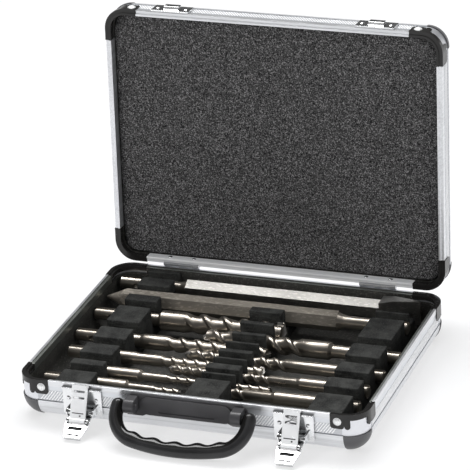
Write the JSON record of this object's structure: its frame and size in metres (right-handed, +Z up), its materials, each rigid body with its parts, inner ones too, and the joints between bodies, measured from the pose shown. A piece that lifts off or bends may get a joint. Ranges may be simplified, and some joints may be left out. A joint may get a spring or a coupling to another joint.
{
  "type": "drill bit case",
  "caption": "Aluminium carrying case with hinged lid, draw latches and swing handle, holding hammer drill bits and chisels in slotted foam.",
  "frame": {"origin": "middle of the base's underside, on the surface it rests on", "axes": "+X to the right along the latch side, +Y towards the hinges, +Z up"},
  "size_m": [0.275, 0.2884, 0.2504],
  "materials": {
    "aluminium": "satin",
    "chrome": "polished",
    "black": "gloss",
    "grey_plastic": "satin",
    "handle": "satin",
    "foam": "matte",
    "tool_steel": "ground"
  },
  "bodies": {
    "base": {"base_panel": "aluminium", "base_edges_long": "aluminium", "base_edges_short": "aluminium", "base_bands_long": "aluminium", "base_bands_short": "aluminium", "base_rims_long": "aluminium", "base_rims_short": "aluminium", "base_ball_corners": "grey_plastic", "base_mid_corners": "aluminium", "base_rim_corners": "black", "base_corner_rivets": "chrome", "base_liner": "black", "foam_left": "foam", "foam_middle": "foam", "foam_right": "foam", "hinge_base_leaves": "aluminium", "hinge_pins": "chrome", "latch_plate_left": "chrome", "latch_plate_right": "chrome", "lever_pins": "chrome", "base_rivets": "chrome", "handle_bracket": "grey_plastic", "handle_pins": "chrome"},
    "lid": {"lid_panel": "aluminium", "lid_edges_long": "aluminium", "lid_edges_short": "aluminium", "lid_bands_long": "aluminium", "lid_bands_short": "aluminium", "lid_rims_long": "aluminium", "lid_rims_short": "aluminium", "lid_ball_corners": "grey_plastic", "lid_mid_corners": "aluminium", "lid_rim_corners": "black", "lid_corner_rivets": "chrome", "lid_liner": "black", "lid_foam": "foam", "hinge_lid_leaves": "aluminium", "strike_left": "chrome", "strike_right": "chrome", "lid_rivets": "chrome"},
    "handle": {"handle_grip": "handle"},
    "lever_left": {"latch_lever_left": "chrome", "link_pin_left": "chrome"},
    "lever_right": {"latch_lever_right": "chrome", "link_pin_right": "chrome"},
    "link_left": {"latch_link_left": "chrome"},
    "link_right": {"latch_link_right": "chrome"},
    "flat_chisel": {"flat_chisel": "tool_steel"},
    "point_chisel": {"point_chisel": "tool_steel"},
    "bit_16": {"bit_16": "tool_steel"},
    "bit_14": {"bit_14": "tool_steel"},
    "bit_12": {"bit_12": "tool_steel"},
    "bit_10": {"bit_10": "tool_steel"},
    "bit_9": {"bit_9": "tool_steel"},
    "bit_8": {"bit_8": "tool_steel"},
    "bit_6": {"bit_6": "tool_steel"},
    "bit_6_short": {"bit_6_short": "tool_steel"},
    "bit_8_short": {"bit_8_short": "tool_steel"}
  },
  "joints": [
    {"name": "lid_hinge", "type": "hinge", "parent": "base", "child": "lid", "pos_m": [0, 0.1055, 0.037], "axis": [-1, 0, 0], "range_deg": [-93.5, 0]},
    {"name": "handle_swivel", "type": "hinge", "parent": "base", "child": "handle", "pos_m": [0, -0.1135, 0.026], "axis": [1, 0, 0], "range_deg": [-132, 0]},
    {"name": "latch_lever_left", "type": "hinge", "parent": "base", "child": "lever_left", "pos_m": [-0.0833, -0.111, 0.014], "axis": [1, 0, 0], "range_deg": [-114, 0]},
    {"name": "latch_link_left", "type": "hinge", "parent": "lever_left", "child": "link_left", "pos_m": [-0.0833, -0.11831, 0.01075], "axis": [1, 0, 0], "range_deg": [0, 133.51]},
    {"name": "latch_lever_right", "type": "hinge", "parent": "base", "child": "lever_right", "pos_m": [0.0833, -0.111, 0.014], "axis": [1, 0, 0], "range_deg": [-114, 0]},
    {"name": "latch_link_right", "type": "hinge", "parent": "lever_right", "child": "link_right", "pos_m": [0.0833, -0.11831, 0.01075], "axis": [1, 0, 0], "range_deg": [0, 133.51]},
    {"name": "lift_flat_chisel", "type": "slide", "parent": "base", "child": "flat_chisel", "axis": [0, 0, 1], "range_m": [0, 0.06]},
    {"name": "lift_point_chisel", "type": "slide", "parent": "base", "child": "point_chisel", "axis": [0, 0, 1], "range_m": [0, 0.06]},
    {"name": "lift_bit_16", "type": "slide", "parent": "base", "child": "bit_16", "axis": [0, 0, 1], "range_m": [0, 0.06]},
    {"name": "lift_bit_14", "type": "slide", "parent": "base", "child": "bit_14", "axis": [0, 0, 1], "range_m": [0, 0.06]},
    {"name": "lift_bit_12", "type": "slide", "parent": "base", "child": "bit_12", "axis": [0, 0, 1], "range_m": [0, 0.06]},
    {"name": "lift_bit_10", "type": "slide", "parent": "base", "child": "bit_10", "axis": [0, 0, 1], "range_m": [0, 0.06]},
    {"name": "lift_bit_9", "type": "slide", "parent": "base", "child": "bit_9", "axis": [0, 0, 1], "range_m": [0, 0.06]},
    {"name": "lift_bit_8", "type": "slide", "parent": "base", "child": "bit_8", "axis": [0, 0, 1], "range_m": [0, 0.06]},
    {"name": "lift_bit_6", "type": "slide", "parent": "base", "child": "bit_6", "axis": [0, 0, 1], "range_m": [0, 0.06]},
    {"name": "lift_bit_6_short", "type": "slide", "parent": "base", "child": "bit_6_short", "axis": [0, 0, 1], "range_m": [0, 0.06]},
    {"name": "lift_bit_8_short", "type": "slide", "parent": "base", "child": "bit_8_short", "axis": [0, 0, 1], "range_m": [0, 0.06]}
  ],
  "couplings": [
    {"joint": "latch_link_left", "follows": "latch_lever_left", "ratio": -1.171},
    {"joint": "latch_link_right", "follows": "latch_lever_right", "ratio": -1.171}
  ]
}
